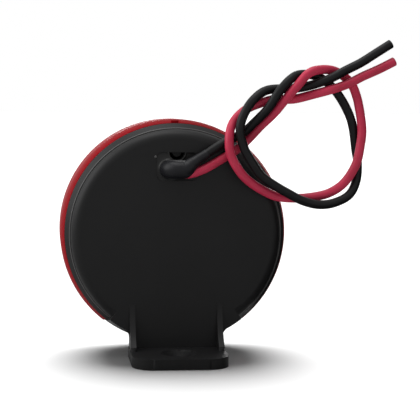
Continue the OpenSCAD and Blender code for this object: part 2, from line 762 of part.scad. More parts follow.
// The corners of a lead's inner stretch: mouth, bend in the sleeve, through the back, then to the board.
function tail_corners(up, x) = concat(
    [[mouth_x, up, -sleeve_bend], [outlet_x, up, -sleeve_bend], [outlet_x, up, tail_lift]],
    x == outlet_x ? [] : [[x, up, tail_lift]], [[x, tail_end, tail_lift]]);
red_up = outlet_up - lead_pitch / 2;
black_up = outlet_up + lead_pitch / 2;

module lead_tail_red() {
    color([0.72, 0.07, 0.2]) on_axis()
        bent_wire(tail_corners(red_up, outlet_x), lead_d, [sleeve_bend, tail_bend]);
}

module lead_tail_black() {
    color([0.08, 0.08, 0.08]) on_axis()
        bent_wire(tail_corners(black_up, black_tail_x), lead_d, [sleeve_bend, tail_bend, tail_bend]);
}

// The bare ends of the leads, tinned.
module tail_cores() {
    for (x = [outlet_x, black_tail_x])
        rod([x, tail_end, tail_lift], [x, tail_end - core_l, tail_lift], tail_core_d);
}

module lead_tail_cores() {
    color([0.78, 0.76, 0.72]) on_axis() tail_cores();
}

module tail_solder() {
    color([0.75, 0.75, 0.77]) on_axis() difference() {
        for (x = [outlet_x, black_tail_x]) translate([x, tail_joint_up, board_front])
            cylinder(h = tail_joint_h, d1 = tail_joint_d, d2 = tail_joint_top);
        tail_cores();
    }
}

// The sleeve's line, drawn out past both ends by the length given.
function sleeve_line(more) = [[mouth_x - more, outlet_up, -sleeve_bend], [outlet_x, outlet_up, -sleeve_bend],
    [outlet_x, outlet_up, back_t + sleeve_in + more]];

module cable_sleeve() {
    color([0.1, 0.1, 0.11]) on_axis() difference() {
        bent_wire(sleeve_line(0), sleeve_od, [sleeve_bend]);
        bent_wire(sleeve_line(past), sleeve_id, [sleeve_bend]);
    }
}

// Potting that fills the pocket and the hole round the sleeve, but for the hollow above it.
module cable_sealant() {
    color([0.07, 0.07, 0.075]) on_axis() difference() {
        union() {
            linear_extrude(pocket_depth) pocket_shape();
            translate([outlet_x, outlet_up, -mound_h / 2]) cylinder(h = back_t + mound_h / 2, d = outlet_d);
            translate([outlet_x, outlet_up, -mound_h]) cylinder(h = mound_h, d1 = mound_top_d, d2 = mound_d);
        }
        bent_wire(sleeve_line(past), sleeve_od, [sleeve_bend]);
        outlet_hollow();
    }
}

module lead(route) {
    translate([mouth_x, back_y + sleeve_bend, axis_h + outlet_up])
        swept_tube([for (p = route) [p.x, knot_depth * p.y, p.z]], lead_d);
}

module lead_red() {
    color([0.72, 0.07, 0.2]) lead(red_route);
}

module lead_black() {
    color([0.08, 0.08, 0.08]) lead(black_route);
}

rear_housing();
front_cover();
cover_seal();
dust_mesh();
sound_chamber();
plate_adhesive();
piezo_plate();
piezo_ceramic();
ceramic_electrode();
plate_solder();
plate_wire_red();
plate_wire_black();
circuit_board();
board_screws();
coil_core();
coil_winding();
coil_pins();
driver_chip();
driver_chip_legs();
transistor();
transistor_legs();
capacitor_can();
capacitor_sleeve();
capacitor_legs();
resistors();
resistor_leads();
diode();
diode_leads();
solder_joints();
tail_solder();
lead_tail_red();
lead_tail_black();
lead_tail_cores();
cable_sleeve();
cable_sealant();
lead_red();
lead_black();
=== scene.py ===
# Round piezo sounder on a screw foot, with two knotted leads. Metres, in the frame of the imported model:
# +Z is up, the flat back and its leads face +Y, and the slotted front faces -Y.
import math

import bmesh
import bpy
import numpy as np
from mathutils import Matrix, Vector


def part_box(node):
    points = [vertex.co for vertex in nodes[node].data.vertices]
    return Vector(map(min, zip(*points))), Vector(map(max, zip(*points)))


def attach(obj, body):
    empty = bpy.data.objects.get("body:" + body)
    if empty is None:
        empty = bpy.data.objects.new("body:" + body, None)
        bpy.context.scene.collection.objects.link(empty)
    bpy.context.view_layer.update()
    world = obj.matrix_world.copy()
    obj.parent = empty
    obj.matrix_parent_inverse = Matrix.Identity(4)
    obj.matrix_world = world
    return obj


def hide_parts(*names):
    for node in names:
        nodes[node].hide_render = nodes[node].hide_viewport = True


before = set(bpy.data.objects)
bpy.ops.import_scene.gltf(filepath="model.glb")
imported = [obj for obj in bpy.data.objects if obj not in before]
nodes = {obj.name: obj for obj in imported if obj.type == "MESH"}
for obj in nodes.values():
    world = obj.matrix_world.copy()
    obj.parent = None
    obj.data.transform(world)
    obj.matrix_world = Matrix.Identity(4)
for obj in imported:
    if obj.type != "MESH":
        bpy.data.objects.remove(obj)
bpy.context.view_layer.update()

# ---------------------------------------------------------------------------------------------
# The view: a long lens a little above the middle of the sounder, behind its flat back and
# slightly to the side, which shows the foot, the wire outlet and the knot together.
scene = bpy.context.scene
scene.view_settings.view_transform = "Standard"

cover_low, cover_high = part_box("front_cover")
back_y = -0.0075                       # where the flat back lies
axis_z = (cover_low.z + cover_high.z) / 2
back_centre = Vector((0.0, back_y, axis_z))

view_turn, view_rise, view_roll = math.radians(174.0), math.radians(5.7), math.radians(0.41)
towards_camera = Vector((math.sin(view_turn) * math.cos(view_rise),
                         -math.cos(view_turn) * math.cos(view_rise), math.sin(view_rise)))
right = Vector((0, 0, 1)).cross(towards_camera).normalized()
upward = towards_camera.cross(right)
rolled_right = right * math.cos(view_roll) + upward * math.sin(view_roll)
rolled_up = upward * math.cos(view_roll) - right * math.sin(view_roll)
camera_distance = 0.34
camera_place = back_centre + camera_distance * towards_camera

camera_data = bpy.data.cameras.new("camera")
camera_data.lens = 112.4
camera_data.sensor_width = 36
camera_data.shift_x = 0.0791
camera_data.shift_y = 0.0605
camera_data.clip_start = 0.01
camera = bpy.data.objects.new("camera", camera_data)
camera.matrix_world = Matrix((
    (rolled_right.x, rolled_up.x, towards_camera.x, camera_place.x),
    (rolled_right.y, rolled_up.y, towards_camera.y, camera_place.y),
    (rolled_right.z, rolled_up.z, towards_camera.z, camera_place.z),
    (0, 0, 0, 1)))
scene.collection.objects.link(camera)
scene.camera = camera

# ---------------------------------------------------------------------------------------------
# The two free leads: stranded hook-up wire in soft PVC, one red and one black. They leave the
# sleeve side by side, tie one loose overhand knot together and end where they were cut.
sleeve_mouth = Vector((-0.00225, -0.0046, 0.0495))
lead_d = 0.00235
knot_depth = 1.15                      # how far the knot is spread from front to back
red_route = [
    (0, 0, -0.001225), (-0.004, -0.0004, -0.0001), (-0.008, -0.0011, 0.002),
    (-0.013, -0.0015, 0.0051), (-0.0159, -0.002, 0.0076), (-0.0192, -0.0013, 0.01125),
    (-0.02225, -0.0003, 0.01435), (-0.025, 0.0008, 0.01795), (-0.028, 0.0012, 0.0215),
    (-0.031, 0.0012, 0.02475), (-0.034, 0.0003, 0.02565), (-0.0385, -0.0012, 0.0253),
    (-0.0425, -0.0014, 0.0225), (-0.044, -0.0013, 0.0195), (-0.045, -0.0008, 0.015),
    (-0.0455, -0.0002, 0.01), (-0.045, 0.0002, 0.006), (-0.044, 0.0002, 0.0015),
    (-0.041, -0.0004, -0.0035), (-0.0375, -0.0009, -0.006), (-0.034, -0.0012, -0.007),
    (-0.029, -0.0013, -0.0075), (-0.0235, -0.0009, -0.007), (-0.02, -0.0003, -0.0055),
    (-0.016, 0.0005, -0.003), (-0.0135, 0.0009, -0.0005), (-0.011, 0.0012, 0.004),
    (-0.01075, 0.0007, 0.009), (-0.0121, -0.0008, 0.0124), (-0.0155, -0.0015, 0.0155),
    (-0.019, -0.0014, 0.017), (-0.023, -0.0015, 0.0181), (-0.0275, -0.0014, 0.0181),
    (-0.033, -0.0001, 0.0195), (-0.0365, 0.0008, 0.0205), (-0.041, 0.001, 0.022),
    (-0.045, 0.0009, 0.024), (-0.0495, 0.0007, 0.026), (-0.0535, 0.0005, 0.028)]
black_route = [
    (0, 0, 0.001225), (-0.0035, -0.0003, 0.003), (-0.0075, -0.001, 0.0055), (-0.012, -0.0014, 0.008),
    (-0.0146, -0.001, 0.0094), (-0.0171, -0.00015, 0.0119), (-0.02045, 0.0009, 0.0155),
    (-0.0234, 0.0012, 0.02005), (-0.0265, 0.0004, 0.02325), (-0.029, -0.0009, 0.0244),
    (-0.0335, -0.0015, 0.0241), (-0.037, -0.0015, 0.022), (-0.04, -0.0015, 0.0185),
    (-0.0425, -0.0016, 0.014), (-0.0435, -0.0018, 0.011), (-0.0445, -0.0021, 0.005),
    (-0.045, -0.0021, 0.002), (-0.0445, -0.0012, -0.003), (-0.0425, -0.0003, -0.0065),
    (-0.0385, 0.0004, -0.0085), (-0.0345, 0.0008, -0.009), (-0.03, 0.001, -0.008),
    (-0.026, 0.0011, -0.006), (-0.0225, 0.0011, -0.004), (-0.019, 0.0011, -0.0015),
    (-0.0165, 0.0012, 0.002), (-0.0145, 0.0012, 0.0055), (-0.0133, 0.0015, 0.0105),
    (-0.0145, 0.0012, 0.0145), (-0.017, 0.0004, 0.018), (-0.0205, -0.001, 0.0203),
    (-0.026, -0.0014, 0.0208), (-0.029, -0.0011, 0.021), (-0.0335, 0.0004, 0.0222),
    (-0.037, 0.001, 0.0236), (-0.0405, 0.0011, 0.0255), (-0.0445, 0.0009, 0.0275),
    (-0.0485, 0.0007, 0.03), (-0.0525, 0.0005, 0.0325)]


def smooth_line(points, step, start_heading=None):
    """A line through the points, with a point about every step along it, and the line's length."""
    p = np.array(points, float)
    first = 2 * p[0] - p[1]
    if start_heading is not None:
        first = p[0] - np.linalg.norm(p[1] - p[0]) * np.array(start_heading)
    p = np.vstack([first, p, 2 * p[-1] - p[-2]])
    gaps = np.sqrt(np.linalg.norm(np.diff(p, axis=0), axis=1))
    knots = np.concatenate([[0], np.cumsum(gaps)])
    line = []
    for i in range(1, len(p) - 2):
        t0, t1, t2, t3 = knots[i - 1:i + 3]
        for t in np.linspace(t1, t2, 12, endpoint=False):
            a1 = (t1 - t) / (t1 - t0) * p[i - 1] + (t - t0) / (t1 - t0) * p[i]
            a2 = (t2 - t) / (t2 - t1) * p[i] + (t - t1) / (t2 - t1) * p[i + 1]
            a3 = (t3 - t) / (t3 - t2) * p[i + 1] + (t - t2) / (t3 - t2) * p[i + 2]
            b1 = (t2 - t) / (t2 - t0) * a1 + (t - t0) / (t2 - t0) * a2
            b2 = (t3 - t) / (t3 - t1) * a2 + (t - t1) / (t3 - t1) * a3
            line.append((t2 - t) / (t2 - t1) * b1 + (t - t1) / (t2 - t1) * b2)
    line = np.array(line + [p[-2]])
    along = np.concatenate([[0], np.cumsum(np.linalg.norm(np.diff(line, axis=0), axis=1))])
    at = np.linspace(0, along[-1], round(along[-1] / step) + 1)
    return np.stack([np.interp(at, along, line[:, k]) for k in range(3)], 1), along[-1]


def carried_frames(line):
    """The line's heading and two directions across it at each point, carried along without twist."""
    heading = np.gradient(line, axis=0)
    heading /= np.linalg.norm(heading, axis=1)[:, None]
    across = np.cross(heading[0], [0, 1, 0])
    sides = []
    for h in heading:
        across = across - h * (across @ h)
        across /= np.linalg.norm(across)
        sides.append((across.copy(), np.cross(h, across)))
    return heading, sides


def new_piece(name, mesh, material, smooth=True):
    """An object at the origin that rides on the part, with one material."""
    mesh.materials.clear()
    mesh.materials.append(material)
    if smooth:
        mesh.polygons.foreach_set("use_smooth", [True] * len(mesh.polygons))
    piece = bpy.data.objects.new(name, mesh)
    scene.collection.objects.link(piece)
    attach(piece, "root")
    return piece


def faced_outwards(mesh):
    """The closed mesh with all of its faces turned outwards."""
    skin = bmesh.new()
    skin.from_mesh(mesh)
    bmesh.ops.recalc_face_normals(skin, faces=skin.faces)
    skin.to_mesh(mesh)
    skin.free()
    return mesh


def lead_mesh(name, line, d, sides, recess):
    """A round tube along the line, closed at both ends, with an edge ring and a recess at the cut end."""
    heading, frames = carried_frames(line)
    edge_depth = 0.06                            # share of the diameter that the cut edge is drawn in
    before_edge, cut_edge, bore, bore_floor = 0.997, 0.88, 0.62, 0.6        # shares of the radius
    end, last = line[-1], len(line) - 1
    rings = [(line[i], i, 1.0) for i in range(last)]
    rings += [(end - heading[last] * edge_depth * d, last, before_edge), (end, last, cut_edge),
              (end, last, bore), (end - heading[last] * recess, last, bore_floor)]
    points = []
    for place, i, share in rings:
        a, b = frames[i]
        for k in range(sides):
            t = 2 * math.pi * k / sides
            points.append(place + share * d / 2 * (math.cos(t) * a + math.sin(t) * b))
    faces = []
    for i in range(len(rings) - 1):
        for k in range(sides):
            n = (k + 1) % sides
            faces.append((i * sides + k, i * sides + n, (i + 1) * sides + n, (i + 1) * sides + k))
    faces.append(tuple(range(sides))[::-1])
    faces.append(tuple((len(rings) - 1) * sides + k for k in range(sides)))
    mesh = bpy.data.meshes.new(name)
    mesh.from_pydata([tuple(p) for p in points], [], faces)
    along = np.concatenate([[0], np.cumsum(np.linalg.norm(np.diff(line, axis=0), axis=1))])
    layer = mesh.uv_layers.new(name="around_and_along")
    for poly in mesh.polygons:
        for corner in poly.loop_indices:
            v = mesh.loops[corner].vertex_index
            ring, k = divmod(v, sides)
            if poly.vertices[0] % sides == sides - 1 and k == 0:
                k = sides
            layer.data[corner].uv = (k / sides * math.pi * d, along[min(ring, last)])
    return faced_outwards(mesh)


def node_material(name, base, roughness, specular=0.5):
    """A new material with its base settings on the shader, and its node tree's parts."""
    material = bpy.data.materials.new(name)
    material.use_nodes = True
    tree = material.node_tree
    shader = next(n for n in tree.nodes if n.type == "BSDF_PRINCIPLED")
    shader.inputs["Base Color"].default_value = (*base, 1)
    shader.inputs["Roughness"].default_value = roughness
    shader.inputs["Specular IOR Level"].default_value = specular
    return material, tree, shader


def add_node(tree, kind, values=(), **settings):
    """A node with its settings and the values of its inputs."""
    node = tree.nodes.new(kind)
    for key, value in settings.items():
        setattr(node, key, value)
    for key, value in dict(values).items():
        node.inputs[key].default_value = value
    return node


def own_place(tree):
    """Each point's place on its piece, which a pattern is fixed to."""
    return tree.nodes.new("ShaderNodeTexCoord").outputs["Object"]


def speckle(tree, place, scale, detail):
    """A soft random pattern."""
    noise = add_node(tree, "ShaderNodeTexNoise", {"Scale": scale, "Detail": detail})
    tree.links.new(place, noise.inputs["Vector"])
    return noise.outputs["Fac"]


def shade_between(tree, factor, low, high, dark, light):
    """A colour that runs from dark to light as the factor runs from low to high."""
    ramp = tree.nodes.new("ShaderNodeValToRGB")
    ramp.color_ramp.elements[0].position, ramp.color_ramp.elements[0].color = low, (*dark, 1)
    ramp.color_ramp.elements[1].position, ramp.color_ramp.elements[1].color = high, (*light, 1)
    tree.links.new(factor, ramp.inputs["Fac"])
    return ramp.outputs["Color"]


def vary_gloss(tree, shader, factor, low, high):
    """Runs the roughness from low to high as the factor runs from 0 to 1."""
    node = add_node(tree, "ShaderNodeMapRange", {"To Min": low, "To Max": high})
    tree.links.new(factor, node.inputs["Value"])
    tree.links.new(node.outputs["Result"], shader.inputs["Roughness"])


def raise_grain(tree, shader, height, strength, depth):
    """Lets the surface stand out a little where the pattern is bright."""
    bump = add_node(tree, "ShaderNodeBump", {"Strength": strength, "Distance": depth})
    tree.links.new(height, bump.inputs["Height"])
    tree.links.new(bump.outputs["Normal"], shader.inputs["Normal"])


def pvc(name, dark, light, roughness, gloss):
    """Extruded PVC: faint colour drift along the wire, fine die lines and a soft waxy gloss."""
    material, tree, shader = node_material(name, light, roughness, gloss)
    uv = tree.nodes.new("ShaderNodeUVMap")
    uv.uv_map = "around_and_along"
    drift = speckle(tree, own_place(tree), 160, 3)
    tree.links.new(shade_between(tree, drift, 0.35, 0.65, dark, light), shader.inputs["Base Color"])
    stretch = add_node(tree, "ShaderNodeMapping", {"Scale": (9000, 180, 1)})
    tree.links.new(uv.outputs["UV"], stretch.inputs["Vector"])
    raise_grain(tree, shader, speckle(tree, stretch.outputs["Vector"], 1, 2), 0.25, 0.00002)
    vary_gloss(tree, shader, drift, roughness - 0.06, roughness + 0.08)
    return material


red_pvc = pvc("red_pvc", (0.47, 0.022, 0.060), (0.60, 0.032, 0.085), 0.42, 0.30)
black_pvc = pvc("black_pvc", (0.0045, 0.0045, 0.005), (0.0075, 0.0075, 0.0082), 0.40, 0.15)


def mesh_from(name, skin):
    """A finished skin as a mesh."""
    mesh = bpy.data.meshes.new(name)
    skin.to_mesh(mesh)
    skin.free()
    return mesh


def strand_core(name, line, d, strands, recess):
    """The cut copper strands that show in the end of a lead: one in the middle and a ring round it."""
    heading, frames = carried_frames(line)
    h, (a, b) = heading[-1], frames[-1]
    bundle_share = 0.58                          # of the lead's diameter, three strands across
    strand_d = bundle_share * d / 3
    places = [np.zeros(3)] + [strand_d * (math.cos(t) * a + math.sin(t) * b)
                              for t in np.linspace(0, 2 * math.pi, strands - 1, endpoint=False)]
    bm = bmesh.new()
    turn = Matrix((tuple(a), tuple(b), tuple(h))).transposed().to_4x4()
    for n, place in enumerate(places):
        tip = line[-1] - h * (recess * (0.55 + 0.12 * (n % 3))) + place
        depth = 3 * recess
        rod = bmesh.ops.create_cone(bm, cap_ends=True, segments=14, radius1=strand_d / 2,
                                    radius2=strand_d / 2, depth=depth)
        bmesh.ops.transform(bm, verts=rod["verts"],
                            matrix=Matrix.Translation(Vector(tip - h * depth / 2)) @ turn)
    return mesh_from(name, bm)


def bare_metal(name, base, roughness, scale, depth, spread=0.08):
    """Plain metal with fine drawn marks and slight change of tone."""
    material, tree, shader = node_material(name, base, roughness)
    shader.inputs["Metallic"].default_value = 1
    marks = speckle(tree, own_place(tree), scale, 4)
    dark = tuple(c * (1 - 1.6 * spread) for c in base)
    tree.links.new(shade_between(tree, marks, 0.3, 0.7, dark, base), shader.inputs["Base Color"])
    vary_gloss(tree, shader, marks, roughness - spread, roughness + spread)
    raise_grain(tree, shader, marks, 0.3, depth)
    return material


strand_copper = bare_metal("strand_copper", (0.80, 0.42, 0.26), 0.32, 2500, 0.00001)
cut_recess = 0.00025                   # how far the copper lies inside the cut insulation
lead_step = 0.0006                     # between the rings of a lead's mesh
free_leads, lead_lines = [], {}
for colour, route, material in (("red", red_route, red_pvc), ("black", black_route, black_pvc)):
    line, length = smooth_line([sleeve_mouth + Vector((x, knot_depth * y, z)) for x, y, z in route],
                               lead_step, start_heading=(-1, 0, 0))
    wire_name, core_name = f"lead_{colour}_wire", f"lead_{colour}_strands"
    lead = new_piece(wire_name, lead_mesh(wire_name, line, lead_d, 24, cut_recess), material)
    core = new_piece(core_name, strand_core(core_name, line, lead_d, 7, cut_recess), strand_copper)
    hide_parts(f"lead_{colour}")
    free_leads += [lead, core]
    lead_lines[colour] = line

# ---------------------------------------------------------------------------------------------
# The rear housing: one injection moulding in black ABS, with the flat back, the rim that the
# cover butts against, the web with its gussets and the screw foot. Its edges are slightly broken.


def merged_copy(name):
    """A CAD node's mesh as one closed skin, with its flat faces whole again."""
    mesh = nodes[name].data.copy()
    skin = bmesh.new()
    skin.from_mesh(mesh)
    bmesh.ops.remove_doubles(skin, verts=skin.verts, dist=0.000002)
    bmesh.ops.dissolve_limit(skin, angle_limit=math.radians(0.3), verts=skin.verts, edges=skin.edges)
    return mesh, skin


def flatten_normals(mesh, smallest):
    """Gives the corners of each large flat face, and the soft edges round it, that face's own normal."""
    normals = [corner.vector.copy() for corner in mesh.corner_normals]
    at_vertex = {}
    for loop in mesh.loops:
        at_vertex.setdefault(loop.vertex_index, []).append(loop.index)
    for face in mesh.polygons:
        if face.area > smallest:
            for vertex in face.vertices:
                for corner in at_vertex[vertex]:
                    if corner in face.loop_indices or normals[corner].dot(face.normal) > 0.94:
                        normals[corner] = face.normal.copy()
    mesh.normals_split_custom_set([tuple(n) for n in normals])


def bevelled(name, mesh, edge):
    """The mesh with its sharp edges rounded by a small radius and its flats shaded flat."""
    rough = bpy.data.objects.new(name + "_rough", mesh)
    scene.collection.objects.link(rough)
    bevel = rough.modifiers.new("edges", "BEVEL")
    bevel.width = edge
    bevel.segments = 2
    bevel.limit_method = "ANGLE"
    bevel.angle_limit = math.radians(30)
    bevel.use_clamp_overlap = True
    bevel.harden_normals = False
    weighted = rough.modifiers.new("normals", "WEIGHTED_NORMAL")
    weighted.mode = "FACE_AREA"
    weighted.weight = 100
    bpy.context.view_layer.update()
    finished = bpy.data.meshes.new_from_object(rough.evaluated_get(bpy.context.evaluated_depsgraph_get()))
    bpy.data.objects.remove(rough)
    finished.name = name
    finished.polygons.foreach_set("use_smooth", [True] * len(finished.polygons))
    smallest_flat = 0.000004                     # square metres
    flatten_normals(finished, smallest_flat)
    return finished


def eased_copy(node, name, edge, material):
    """A copy of a CAD node with eased edges, shown in its place."""
    mesh, skin = merged_copy(node)
    skin.to_mesh(mesh)
    skin.free()
    piece = new_piece(name, bevelled(name, mesh, edge), material, smooth=False)
    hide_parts(node)
    return piece


def moulded(name, base, roughness, grain, grain_depth, drift=0.12, specular=0.5):
    """Moulded plastic: fine spark-eroded grain, slow change of tone and of gloss."""
    material, tree, shader = node_material(name, base, roughness, specular)
    place = own_place(tree)
    slow = speckle(tree, place, 60, 3)
    dark = tuple(c * (1 - drift) for c in base)
    light = tuple(c * (1 + drift) for c in base)
    tree.links.new(shade_between(tree, slow, 0.3, 0.7, dark, light), shader.inputs["Base Color"])
    vary_gloss(tree, shader, slow, roughness - 0.05, roughness + 0.05)
    raise_grain(tree, shader, speckle(tree, place, grain, 2), 0.35, grain_depth)
    return material


def add_ring(skin, centre, major, minor, turns=180, around=12):
    """Adds a closed bead to a skin: a torus about an axis along Y."""
    rows = []
    for i in range(turns):
        a = 2 * math.pi * i / turns
        out = Vector((math.cos(a), 0, math.sin(a)))
        rows.append([])
        for b in (2 * math.pi * k / around for k in range(around)):
            place = centre + out * (major + minor * math.cos(b)) + Vector((0, minor * math.sin(b), 0))
            rows[-1].append(skin.verts.new(place))
    for i in range(turns):
        here, there = rows[i], rows[(i + 1) % turns]
        for k in range(around):
            n = (k + 1) % around
            skin.faces.new((here[k], here[n], there[n], there[k]))


def add_dome(skin, foot, radius, height, turns=20, rows=4):
    """Adds a low round pip to a skin, standing on the flat back with its foot sunk in it."""
    rings = []
    for j in range(-1, rows):
        lift = -0.3 * height if j < 0 else height * math.sin(math.pi / 2 * j / rows)
        reach = radius if j < 0 else radius * math.cos(math.pi / 2 * j / rows)
        rings.append([skin.verts.new(foot + Vector((reach * math.cos(a), lift, reach * math.sin(a))))
                      for a in (2 * math.pi * k / turns for k in range(turns))])
    top = skin.verts.new(foot + Vector((0, height, 0)))
    for low, high in zip(rings, rings[1:]):
        for k in range(turns):
            n = (k + 1) % turns
            skin.faces.new((low[k], high[k], high[n], low[n]))
    for k in range(turns):
        skin.faces.new((rings[-1][k], top, rings[-1][(k + 1) % turns]))
    skin.faces.new(rings[0])


broken_edge = 0.00018                  # the small radius on the moulded corners
housing_abs = moulded("housing_abs", (0.0075, 0.0075, 0.0078), 0.45, 6000, 0.000008, 0.15, 0.18)
housing = eased_copy("rear_housing", "housing_moulding", broken_edge, housing_abs)

# ---------------------------------------------------------------------------------------------
# Details of the moulding too fine for the solid model: the thin witness bead where the rounded
# back meets the sloping ledge, and the pip that the mould's gate left beside the wire outlet.
bead_depth, bead_r, bead_wire_r = 0.00250, 0.02762, 0.00020
pip_place, pip_r, pip_height = Vector((0.0056, back_y, 0.0526)), 0.00034, 0.0001
details = bmesh.new()
add_ring(details, Vector((0, back_y - bead_depth, axis_z)), bead_r, bead_wire_r)
add_dome(details, pip_place, pip_r, pip_height)
bmesh.ops.recalc_face_normals(details, faces=details.faces)
# Both are drawn in a pale grey, a painted highlight for the thin light line along the bead and the light dot
# on the pip.
pale_abs_painted_highlight = moulded("pale_abs_painted_highlight", (0.060, 0.058, 0.058), 0.30, 3000, 0.000008, 0.25, 0.4)
marks = new_piece("moulding_marks", mesh_from("moulding_marks", details), pale_abs_painted_highlight)

# ---------------------------------------------------------------------------------------------
# The front cover: a red ABS moulding with a flared rim, pushed over the housing from the front.
# It carries the rings of sound slots and is turned true by the housing's key at the top.
cover_red = moulded("cover_red", (0.28, 0.0034, 0.0078), 0.48, 9000, 0.000003, 0.06, 0.03)
cover = eased_copy("front_cover", "cover_moulding", broken_edge, cover_red)

# ---------------------------------------------------------------------------------------------
# The wire outlet: black sleeving that comes out of the back wall, bends towards the leads and
# narrows onto the black one, so that the red lead slips out from under it.
sleeve_middle = sleeve_mouth.z
outlet_x = 0.0023
sleeve_r = 0.00234
sleeve_wall = 0.00006
sleeve_step = 0.0003                   # between the rings of the sleeve's mesh
sleeve_rings = [((outlet_x, back_y - 0.0009, sleeve_middle), sleeve_r)]
sleeve_rings += [((outlet_x - across, back_y + out, sleeve_middle + up), r) for across, out, up, r in (
    (0, 0.0003, -0.00012, sleeve_r), (0.0002, 0.0013, -0.00012, sleeve_r),
    (0.0008, 0.0023, -0.00012, sleeve_r), (0.0019, 0.0029, -0.00014, sleeve_r),
    (0.0031, 0.0029, -0.00012, sleeve_r), (0.0041, 0.0029, 0, 0.00236), (0.0050, 0.0029, 0.0006, 0.00207),
    (0.0059, 0.0028, 0.00145, 0.00172), (0.0068, 0.0027, 0.0021, 0.00147))]
sleeve_rings += [(tuple(lead_lines["black"][i]), lead_d / 2 + over) for i, over in (
    (6, 0.0001), (8, 0.00006), (10, 0.00005))]


def tapered_skin(name, rings, sides, wall, step):
    """A bent tube whose radius changes along it, with a wall and a rounded lip at its free end."""
    centres, _ = smooth_line([r[0] for r in rings], step)
    gaps = [np.linalg.norm(np.subtract(a[0], b[0])) for a, b in zip(rings, rings[1:])]
    share = np.concatenate([[0], np.cumsum(gaps)])
    radii = np.interp(np.linspace(0, 1, len(centres)), share / share[-1], [r[1] for r in rings])
    for _ in range(3):
        radii[1:-1] = (radii[:-2] + 2 * radii[1:-1] + radii[2:]) / 4
    heading, frames = carried_frames(centres)
    outer = [(centres[i], i, radii[i]) for i in range(len(centres))]
    lip = centres[-1] + heading[-1] * wall * 0.5
    inner = [(lip, len(centres) - 1, radii[-1] - wall * 0.5)]
    inner += [(centres[i], i, radii[i] - wall) for i in range(len(centres) - 1, -1, -1)]
    profile = outer + inner
    points = [tuple(place + r * (math.cos(t) * frames[i][0] + math.sin(t) * frames[i][1]))
              for place, i, r in profile for t in (2 * math.pi * k / sides for k in range(sides))]
    count = len(profile)
    faces = [(i * sides + k, i * sides + (k + 1) % sides, (i + 1) % count * sides + (k + 1) % sides,
              (i + 1) % count * sides + k) for i in range(count) for k in range(sides)]
    mesh = bpy.data.meshes.new(name)
    mesh.from_pydata(points, [], faces)
    return faced_outwards(mesh)


sleeve_black = moulded("sleeve_black", (0.0078, 0.0078, 0.0096), 0.42, 1100, 0.00014, 0.2, 0.17)
sleeve_mesh = tapered_skin("outlet_sleeve", sleeve_rings, 48, sleeve_wall, sleeve_step)
sleeve = new_piece("outlet_sleeve", sleeve_mesh, sleeve_black)
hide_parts("cable_sleeve")

# ---------------------------------------------------------------------------------------------
# The potting: black resin poured into the pocket round the sleeve. It sinks a little as it cures,
# creeps up the walls and the sleeve, and leaves the round hollow open at the pocket's upper edge.
pocket_low, pocket_high = (-0.00535, axis_z + 0.0142), (0.00535, axis_z + 0.0215)
pocket_slip, pocket_corner = 0.00003, 0.0015
resin_cell, resin_depth = 0.00008, 0.00205
hollow_middle, hollow_r = (0.0, pocket_high[1]), 0.0021


def resin_surface(x, z):
    """How far the resin's face stands out from the flat back at a place in the pocket."""
    level, ripple_height = -0.00022, 0.00003
    wall_creep, wall_reach = 0.00012, 0.0003
    sleeve_creep, sleeve_reach = 0.0006, 0.00045
    rim_height, rim_width = 0.00030, 0.00020
    bowl_edge, bowl_sag = -0.0007, 0.0013
    wall = min(x - pocket_low[0], pocket_high[0] - x, z - pocket_low[1], pocket_high[1] - z)
    sleeve_gap = max(math.hypot(x - outlet_x, z - sleeve_middle) - sleeve_r, 0)
    from_middle = math.hypot(x - hollow_middle[0], z - hollow_middle[1])
    hollow_gap = from_middle - hollow_r
    ripple = math.sin(1900 * x + 700 * z) * math.sin(1300 * z - 500 * x)
    height = level + ripple_height * ripple + wall_creep * math.exp(-wall / wall_reach)
    height += sleeve_creep * math.exp(-sleeve_gap / sleeve_reach)
    height += rim_height * math.exp(-(hollow_gap / rim_width) ** 2)
    sunk = min(max(0.5 - hollow_gap / rim_width, 0), 1)
    sunk = sunk * sunk * (3 - 2 * sunk)
    bowl = bowl_edge - bowl_sag * max(1 - (from_middle / hollow_r) ** 2, 0)
    return height * (1 - sunk) + bowl * sunk


def filled_pocket(name, cell, inset, corner, depth):
    """A closed slab of resin: a fine grid for its face, walls round it and a plain back."""
    low = (pocket_low[0] + inset, pocket_low[1] + inset)
    high = (pocket_high[0] - inset, pocket_high[1] - inset)
    across, up = round((high[0] - low[0]) / cell), round((high[1] - low[1]) / cell)
    skin = bmesh.new()
    face = []
    for i in range(across + 1):
        for j in range(up + 1):
            x, z = low[0] + (high[0] - low[0]) * i / across, low[1] + (high[1] - low[1]) * j / up
            cx = min(max(x, low[0] + corner), high[0] - corner)
            cz = min(max(z, low[1] + corner), high[1] - corner)
            out = math.hypot(x - cx, z - cz)
            square = max(abs(x - cx), abs(z - cz))
            if square > 0 and out > 0:                 # draws the square corner in to a round one
                x, z = cx + (x - cx) * square / out, cz + (z - cz) * square / out
            face.append(skin.verts.new((x, back_y + resin_surface(x, z), z)))
    at = lambda i, j: face[i * (up + 1) + j]
    for i in range(across):
        for j in range(up):
            skin.faces.new((at(i, j), at(i, j + 1), at(i + 1, j + 1), at(i + 1, j)))
    edge = [at(i, 0) for i in range(across)] + [at(across, j) for j in range(up)]
    edge += [at(i, up) for i in range(across, 0, -1)] + [at(0, j) for j in range(up, 0, -1)]
    rear = [skin.verts.new((v.co.x, back_y - depth, v.co.z)) for v in edge]
    for k in range(len(edge)):
        n = (k + 1) % len(edge)
        skin.faces.new((edge[k], edge[n], rear[n], rear[k]))
    skin.faces.new(rear)
    bmesh.ops.recalc_face_normals(skin, faces=skin.faces)
    return mesh_from(name, skin)


